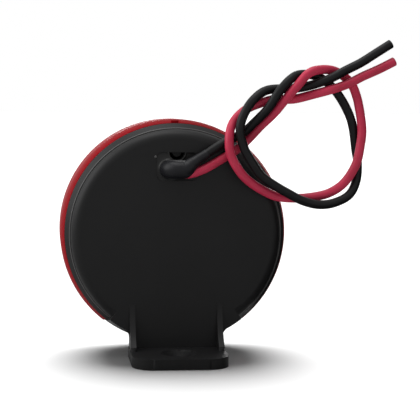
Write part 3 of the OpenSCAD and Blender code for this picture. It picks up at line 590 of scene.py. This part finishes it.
def resin_with_painted_hollow_light(name, middle, radius):
    """Potting resin with painted shade that darkens and dulls its deep round hollow, and a painted highlight
    that makes the thin edge round it pale.
    """
    material = moulded(name, (0.006, 0.006, 0.0065), 0.34, 900, 0.00004, 0.2, 0.2)
    tree = material.node_tree
    shader = next(n for n in tree.nodes if n.type == "BSDF_PRINCIPLED")
    tree.nodes.remove(shader.inputs["Base Color"].links[0].from_node)       # its tones follow the hollow
    flat = add_node(tree, "ShaderNodeVectorMath", {1: (1, 0, 1)}, operation="MULTIPLY")
    tree.links.new(own_place(tree), flat.inputs[0])
    away = add_node(tree, "ShaderNodeVectorMath", {1: (middle[0], 0, middle[1])}, operation="DISTANCE")
    tree.links.new(flat.outputs["Vector"], away.inputs[0])
    share = add_node(tree, "ShaderNodeMapRange", {"From Max": 2 * radius})
    tree.links.new(away.outputs["Value"], share.inputs["Value"])
    # Painted shade inside the hollow, a painted highlight on its edge, then the resin's own black.
    tones = ((0.42, 0.0010), (0.48, 0.032), (0.52, 0.032), (0.57, 0.006))
    ramp = tree.nodes.new("ShaderNodeValToRGB")
    while len(ramp.color_ramp.elements) < len(tones):
        ramp.color_ramp.elements.new(0.5)
    for stop, (at, tone) in zip(ramp.color_ramp.elements, tones):
        stop.position, stop.color = at, (tone, tone, tone, 1)
    tree.links.new(share.outputs["Result"], ramp.inputs["Fac"])
    tree.links.new(ramp.outputs["Color"], shader.inputs["Base Color"])
    gloss = add_node(tree, "ShaderNodeMapRange", {"From Min": 0.42, "From Max": 0.50,
                                                  "To Min": 0.02, "To Max": 0.22})
    tree.links.new(share.outputs["Result"], gloss.inputs["Value"])
    tree.links.new(gloss.outputs["Result"], shader.inputs["Specular IOR Level"])
    return material


potting_black = resin_with_painted_hollow_light("potting_black", hollow_middle, hollow_r)
potting_mesh = filled_pocket("outlet_potting", resin_cell, pocket_slip, pocket_corner, resin_depth)
potting = new_piece("outlet_potting", potting_mesh, potting_black)
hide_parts("cable_sealant")

# ---------------------------------------------------------------------------------------------
# The sealing ring of nitrile rubber between cover and housing, and the dust cloth of woven
# polyester that lies behind the sound slots.
seal_nbr = moulded("seal_nbr", (0.016, 0.016, 0.017), 0.62, 2500, 0.00001, 0.2, 0.4)


def dress(material, *names):
    """Gives CAD nodes that keep their shape a finished material."""
    for name in names:
        nodes[name].data.materials.clear()
        nodes[name].data.materials.append(material)


def woven(name, base, pitch, roughness):
    """Plain-weave cloth in the disc's plane: crossing threads that pass over and under."""
    material, tree, shader = node_material(name, base, roughness, 0.3)
    split = tree.nodes.new("ShaderNodeSeparateXYZ")
    tree.links.new(own_place(tree), split.inputs[0])
    waves = []
    for axis in ("X", "Z"):
        scaled = add_node(tree, "ShaderNodeMath", {1: math.pi / pitch}, operation="MULTIPLY")
        tree.links.new(split.outputs[axis], scaled.inputs[0])
        wave = add_node(tree, "ShaderNodeMath", operation="SINE")
        tree.links.new(scaled.outputs[0], wave.inputs[0])
        waves.append(wave)
    over = add_node(tree, "ShaderNodeMath", operation="MULTIPLY")
    tree.links.new(waves[0].outputs[0], over.inputs[0])
    tree.links.new(waves[1].outputs[0], over.inputs[1])
    height = add_node(tree, "ShaderNodeMath", operation="ABSOLUTE")
    tree.links.new(over.outputs[0], height.inputs[0])
    # The cloth is darker where the weave is low, along the lines between the threads: painted shade.
    dark = tuple(c * 0.25 for c in base)
    tree.links.new(shade_between(tree, height.outputs[0], 0.05, 0.6, dark, base), shader.inputs["Base Color"])
    raise_grain(tree, shader, height.outputs[0], 0.9, 0.00012)
    return material


dress(seal_nbr, "cover_seal")
dress(woven("dust_cloth", (0.030, 0.030, 0.032), 0.0006, 0.7), "dust_mesh")

# ---------------------------------------------------------------------------------------------
# The sounding unit: a chamber in natural grey ABS holds the brass plate in a ring of adhesive.
# The ceramic is fired onto the plate's back, silvered, and joined to the board by two wires.
chamber_abs = moulded("chamber_abs", (0.055, 0.056, 0.060), 0.48, 3000, 0.00001, 0.1)
silicone = moulded("silicone", (0.62, 0.61, 0.56), 0.36, 1200, 0.00001, 0.05)
ceramic = moulded("fired_ceramic", (0.71, 0.66, 0.55), 0.58, 5000, 0.000008, 0.08)
brass = bare_metal("rolled_brass", (0.78, 0.58, 0.28), 0.34, 700, 0.000006)
silver = bare_metal("fired_silver", (0.86, 0.85, 0.82), 0.46, 3800, 0.000012, 0.05)
solder_tin = bare_metal("solder_tin", (0.66, 0.66, 0.67), 0.26, 1500, 0.00002)


def coloured_sleeving(name, dark, light, roughness):
    """Wire insulation on the short inner wires, with a slight change of tone and die marks."""
    return moulded(name, tuple((a + b) / 2 for a, b in zip(dark, light)), roughness, 2600, 0.000008, 0.15)


inner_red = coloured_sleeving("inner_red", (0.47, 0.022, 0.060), (0.60, 0.032, 0.085), 0.42)
inner_black = coloured_sleeving("inner_black", (0.010, 0.010, 0.011), (0.016, 0.016, 0.017), 0.40)
dress(chamber_abs, "sound_chamber")
dress(silicone, "plate_adhesive")
dress(brass, "piezo_plate")
dress(ceramic, "piezo_ceramic")
dress(silver, "ceramic_electrode")
dress(solder_tin, "plate_solder")
dress(inner_red, "plate_wire_red", "lead_tail_red")
dress(inner_black, "plate_wire_black", "lead_tail_black")

# ---------------------------------------------------------------------------------------------
# The circuit board: glass epoxy under a green mask, with its tracks showing through, screwed to
# the housing's posts by three zinc-plated pan-head screws.


def masked_board(name, laminate, track, cell, roughness):
    """Solder mask over copper: square-cornered tracks that stand up a little under the green."""
    material, tree, shader = node_material(name, laminate, roughness)
    place = own_place(tree)
    turn = add_node(tree, "ShaderNodeMapping", {"Rotation": (math.pi / 2, 0, 0)})
    tree.links.new(place, turn.inputs["Vector"])
    gap, copper = (0, 0, 0, 1), (1, 1, 1, 1)
    tracks = add_node(tree, "ShaderNodeTexBrick", {"Scale": 1 / cell, "Mortar Size": 0.09,
                                                   "Mortar Smooth": 0.1, "Color1": gap, "Color2": gap,
                                                   "Mortar": copper})
    tracks.offset = 0.35
    tracks.squash = 1.6
    tree.links.new(turn.outputs["Vector"], tracks.inputs["Vector"])
    pattern = tracks.outputs["Color"]
    tree.links.new(shade_between(tree, pattern, 0.4, 0.6, laminate, track), shader.inputs["Base Color"])
    vary_gloss(tree, shader, speckle(tree, place, 1800, 3), roughness - 0.08, roughness + 0.1)
    raise_grain(tree, shader, pattern, 0.4, 0.00004)
    return material


dress(masked_board("green_mask", (0.012, 0.085, 0.030), (0.030, 0.19, 0.06), 0.0042, 0.30), "circuit_board")
dress(bare_metal("zinc_plate", (0.66, 0.67, 0.69), 0.33, 1900, 0.00001), "board_screws")

# ---------------------------------------------------------------------------------------------
# The step-up coil: enamelled copper wire wound in layers on a drum of sintered ferrite, whose
# three tinned pins go through the board.
coil_axis = (-0.0095, axis_z - 0.0035)
coil_near, coil_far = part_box("coil_winding")
coil_r, coil_turns = 0.0035, 18
inner_layer_r = 0.0033                 # the layers under the outer one, as one drum


def wound_coil(name, material, radius, wire, turns, depth):
    """The winding's outer layer: a close helix of round wire, grown by rule from its sizes."""
    group = bpy.data.node_groups.new(name + "_growth", "GeometryNodeTree")
    group.interface.new_socket("Geometry", in_out="OUTPUT", socket_type="NodeSocketGeometry")
    sizes = {"Radius": radius, "Wire": wire, "Turns": turns, "Depth": depth}
    sockets = {}
    for label in sizes:
        socket = group.interface.new_socket(label, in_out="INPUT", socket_type="NodeSocketFloat")
        sockets[label] = socket.identifier
    start = group.nodes.new("NodeGroupInput")
    out = group.nodes.new("NodeGroupOutput")
    helix = group.nodes.new("GeometryNodeCurveSpiral")
    helix.inputs["Resolution"].default_value = 40
    section = group.nodes.new("GeometryNodeCurvePrimitiveCircle")
    section.inputs["Resolution"].default_value = 10
    tube = group.nodes.new("GeometryNodeCurveToMesh")
    tube.inputs["Fill Caps"].default_value = True
    real = group.nodes.new("GeometryNodeRealizeInstances")
    paint = group.nodes.new("GeometryNodeSetMaterial")
    paint.inputs["Material"].default_value = material
    for label, target in (("Radius", "Start Radius"), ("Radius", "End Radius"), ("Turns", "Rotations"),
                          ("Depth", "Height")):
        group.links.new(start.outputs[label], helix.inputs[target])
    group.links.new(start.outputs["Wire"], section.inputs["Radius"])
    group.links.new(helix.outputs["Curve"], tube.inputs["Curve"])
    group.links.new(section.outputs["Curve"], tube.inputs["Profile Curve"])
    group.links.new(tube.outputs["Mesh"], real.inputs["Geometry"])
    group.links.new(real.outputs["Geometry"], paint.inputs["Geometry"])
    group.links.new(paint.outputs["Geometry"], out.inputs[0])
    seed = bpy.data.objects.new(name + "_seed", bpy.data.meshes.new(name + "_seed"))
    scene.collection.objects.link(seed)
    grow = seed.modifiers.new("grow", "NODES")
    grow.node_group = group
    for label, value in sizes.items():
        grow[sockets[label]] = float(value)
    bpy.context.view_layer.update()
    mesh = bpy.data.meshes.new_from_object(seed.evaluated_get(bpy.context.evaluated_depsgraph_get()))
    bpy.data.objects.remove(seed)
    mesh.name = name
    return mesh


enamel = bare_metal("enamelled_copper", (0.72, 0.30, 0.13), 0.30, 2200, 0.000006)
coil_depth = coil_far.y - coil_near.y
wire_r = coil_depth / coil_turns / 2
coil_mesh = wound_coil("coil_turns", enamel, coil_r - wire_r, wire_r * 0.97, coil_turns - 1,
                       coil_depth - 2 * wire_r)
inner_layer = bmesh.new()
inner_layer.from_mesh(coil_mesh)
bmesh.ops.create_cone(inner_layer, cap_ends=True, segments=48, radius1=inner_layer_r,
                      radius2=inner_layer_r, depth=coil_depth * 0.998,
                      matrix=Matrix.Translation((0, 0, coil_depth / 2 - wire_r)))
bmesh.ops.transform(inner_layer, verts=inner_layer.verts,
                    matrix=Matrix.Translation((coil_axis[0], coil_far.y - wire_r, coil_axis[1]))
                    @ Matrix.Rotation(math.pi / 2, 4, "X"))
inner_layer.to_mesh(coil_mesh)
inner_layer.free()
coil = new_piece("coil_turns", coil_mesh, enamel)
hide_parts("coil_winding")
ferrite = moulded("sintered_ferrite", (0.045, 0.042, 0.042), 0.56, 4200, 0.00001, 0.25)
tinned = bare_metal("tinned_leg", (0.74, 0.73, 0.70), 0.30, 2600, 0.000008)
dress(ferrite, "coil_core")
dress(tinned, "coil_pins", "driver_chip_legs", "transistor_legs", "capacitor_legs", "resistor_leads",
      "diode_leads")

# ---------------------------------------------------------------------------------------------
# The oscillator: a small-outline driver chip soldered on the board and a moulded transistor
# beside it, both in matt black epoxy.
epoxy_black = moulded("epoxy_black", (0.017, 0.017, 0.018), 0.60, 7000, 0.00001, 0.25)
chip = eased_copy("driver_chip", "driver_chip_body", 0.0001, epoxy_black)
transistor = eased_copy("transistor", "transistor_body", 0.00012, epoxy_black)

# ---------------------------------------------------------------------------------------------
# The reservoir capacitor: a crimped aluminium can with a scored top, in a shrunk sleeve that
# has the usual pale stripe down the side of its negative leg.


def striped_sleeve(name, base, stripe, edge_x, roughness):
    """Shrink sleeving with a pale stripe on the side past a given place across the board."""
    material, tree, shader = node_material(name, base, roughness)
    place = own_place(tree)
    split = tree.nodes.new("ShaderNodeSeparateXYZ")
    tree.links.new(place, split.inputs[0])
    tree.links.new(shade_between(tree, split.outputs["X"], edge_x, edge_x + 0.0001, base, stripe),
                   shader.inputs["Base Color"])
    wrinkle = speckle(tree, place, 900, 2)
    vary_gloss(tree, shader, wrinkle, roughness - 0.06, roughness + 0.08)
    raise_grain(tree, shader, wrinkle, 0.3, 0.00002)
    return material


blue_black, stripe_grey, stripe_edge_x = (0.010, 0.014, 0.035), (0.42, 0.45, 0.50), 0.0112
dress(bare_metal("drawn_aluminium", (0.82, 0.82, 0.83), 0.32, 1700, 0.000008), "capacitor_can")
dress(striped_sleeve("blue_black_sleeve", blue_black, stripe_grey, stripe_edge_x, 0.34), "capacitor_sleeve")

# ---------------------------------------------------------------------------------------------
# The resistors and the diode: resistors lacquered tan with four painted bands, and a black
# diode with a silver band at its cathode.


def banded(name, base, bands, period, roughness):
    """Lacquer with painted rings: a band has a middle along X, a width and a colour, and repeats."""
    material, tree, shader = node_material(name, base, roughness)
    place = own_place(tree)
    split = tree.nodes.new("ShaderNodeSeparateXYZ")
    tree.links.new(place, split.inputs[0])
    along = add_node(tree, "ShaderNodeMath", {1: period / 2, 2: -period / 2}, operation="WRAP")
    tree.links.new(split.outputs["X"], along.inputs[0])
    colour = None
    for middle, width, paint in bands:
        off = add_node(tree, "ShaderNodeMath", {1: middle}, operation="SUBTRACT")
        tree.links.new(along.outputs[0], off.inputs[0])
        far = add_node(tree, "ShaderNodeMath", operation="ABSOLUTE")
        tree.links.new(off.outputs[0], far.inputs[0])
        inside = add_node(tree, "ShaderNodeMath", {1: width / 2}, operation="LESS_THAN")
        tree.links.new(far.outputs[0], inside.inputs[0])
        mix = add_node(tree, "ShaderNodeMix", data_type="RGBA")
        mix.inputs["A"].default_value = (*base, 1)
        mix.inputs["B"].default_value = (*paint, 1)
        tree.links.new(inside.outputs[0], mix.inputs["Factor"])
        if colour is not None:
            tree.links.new(colour, mix.inputs["A"])
        colour = mix.outputs["Result"]
    tree.links.new(colour, shader.inputs["Base Color"])
    grain = speckle(tree, place, 2400, 2)
    vary_gloss(tree, shader, grain, roughness - 0.06, roughness + 0.08)
    raise_grain(tree, shader, grain, 0.25, 0.00001)
    return material


brown, black, red, gold = (0.16, 0.06, 0.02), (0.01, 0.01, 0.01), (0.50, 0.02, 0.01), (0.55, 0.38, 0.08)
resistor_bands = [(-0.0016, 0.0005, brown), (-0.0005, 0.0004, black), (0.0004, 0.0004, red),
                  (0.0016, 0.0005, gold)]
resistor_pitch = 0.0085
resistor_paint = banded("resistor_paint", (0.58, 0.42, 0.24), resistor_bands, resistor_pitch, 0.4)
cathode_band = (0.0016, 0.0007, (0.62, 0.62, 0.60))
diode_paint = banded("diode_paint", (0.014, 0.014, 0.015), [cathode_band], 0.05, 0.42)
dress(resistor_paint, "resistors")
dress(diode_paint, "diode")

# ---------------------------------------------------------------------------------------------
# The solder: a cone round each leg behind the board and the two large joints of the leads, whose
# stripped strands are tinned.
dress(solder_tin, "solder_joints", "tail_solder")
dress(bare_metal("tinned_strands", (0.76, 0.66, 0.54), 0.34, 3200, 0.00002), "lead_tail_cores")

# ---------------------------------------------------------------------------------------------
# The studio: a pale floor under a wide overhead lamp of its own, softboxes at one side, in front and
# above, and a black card that darkens the reflections on the other side. The background is white.
# The free leads stand high over the floor and leave no shadow on it.


def pale_floor(name, seen, other):
    """Matt floor that is white to the camera and a little darker to the light that it bounces."""
    material, tree, shader = node_material(name, (seen, seen, seen), 0.9, 0.1)
    path = tree.nodes.new("ShaderNodeLightPath")
    grey = add_node(tree, "ShaderNodeMapRange", {"To Min": other, "To Max": seen})
    tree.links.new(path.outputs["Is Camera Ray"], grey.inputs["Value"])
    tree.links.new(grey.outputs["Result"], shader.inputs["Base Color"])
    return material


floor_reach = 9
floor_corners = [(x * floor_reach, y * floor_reach, 0) for x, y in ((-1, -1), (1, -1), (1, 1), (-1, 1))]
floor_mesh = bpy.data.meshes.new("floor")
floor_mesh.from_pydata(floor_corners, [], [(0, 1, 2, 3)])
floor_mesh.materials.append(pale_floor("floor_white", 0.9, 0.48))
floor = bpy.data.objects.new("floor", floor_mesh)
scene.collection.objects.link(floor)

card_bend = ((-0.034, 0.0006), (-0.20, 0.0006), (-0.24, 0.26))       # along the floor, then upwards
card_ends = (-0.34, 0.10)
card_mesh = bpy.data.meshes.new("black_card")
card_mesh.from_pydata([(x, y, z) for x, z in card_bend for y in card_ends], [], [(0, 1, 3, 2), (2, 3, 5, 4)])
card_mesh.materials.append(node_material("card_black", (0.004, 0.004, 0.004), 0.9, 0.05)[0])
card = bpy.data.objects.new("black_card", card_mesh)
scene.collection.objects.link(card)
for ray in ("camera", "diffuse", "transmission", "shadow"):
    setattr(card, "visible_" + ray, False)
cover.visible_diffuse = False          # so that the red cover casts no pink glow on the floor


def lamp(name, kind, direction, distance, energy, size, floor_state, passes=()):
    """A lamp that lights the floor alone or all but the floor, and casts no shadow of what it passes."""
    data = bpy.data.lights.new(name, kind)
    data.energy = energy
    if kind == "SUN":
        data.angle = math.radians(size)
    else:
        data.shape = "RECTANGLE"
        data.size, data.size_y = size
    place = bpy.data.objects.new(name, data)
    towards = Vector(direction).normalized()
    place.rotation_euler = towards.to_track_quat("Z", "Y").to_euler()
    place.location = sounder_middle + towards * distance
    scene.collection.objects.link(place)
    lit = bpy.data.collections.new(name + "_lights")
    lit.objects.link(floor)
    place.light_linking.receiver_collection = lit
    lit.collection_objects[0].light_linking.link_state = floor_state
    if passes:
        unshaded = bpy.data.collections.new(name + "_passes")
        place.light_linking.blocker_collection = unshaded
        for piece in passes:
            unshaded.objects.link(piece)
        for entry in unshaded.collection_objects:
            entry.light_linking.link_state = "EXCLUDE"


sounder_middle = Vector((0, -0.01, 0.035))
lamp("floor_lamp", "SUN", (0.02, -0.61, 1), 1.0, 4.9, 46, "INCLUDE", free_leads)
lamp("side_softbox", "AREA", (0.82, 0.10, 0.50), 0.6, 2.35, (0.5, 0.5), "EXCLUDE")
lamp("front_softbox", "AREA", (-0.35, -1, 0.02), 0.6, 2.2, (0.5, 0.3), "EXCLUDE")
lamp("top_softbox", "AREA", (0.10, 0.06, 1), 0.6, 1.7, (0.5, 0.3), "EXCLUDE")

# The world is white where it is seen or reflected, and gives the rest of the object a low fill.
fill_level = 0.17
world = bpy.data.worlds.new("studio")
scene.world = world
world.use_nodes = True
sky = world.node_tree
background = next(n for n in sky.nodes if n.type == "BACKGROUND")
background.inputs["Color"].default_value = (1, 1, 1, 1)
path = sky.nodes.new("ShaderNodeLightPath")
either = add_node(sky, "ShaderNodeMath", operation="MAXIMUM")
sky.links.new(path.outputs["Is Camera Ray"], either.inputs[0])
sky.links.new(path.outputs["Is Transmission Ray"], either.inputs[1])
seen = add_node(sky, "ShaderNodeMath", operation="MAXIMUM")
sky.links.new(either.outputs[0], seen.inputs[0])
sky.links.new(path.outputs["Is Glossy Ray"], seen.inputs[1])
level = add_node(sky, "ShaderNodeMapRange", {"To Min": fill_level, "To Max": 1.0})
sky.links.new(seen.outputs[0], level.inputs["Value"])
sky.links.new(level.outputs["Result"], background.inputs["Strength"])

bpy.context.view_layer.update()
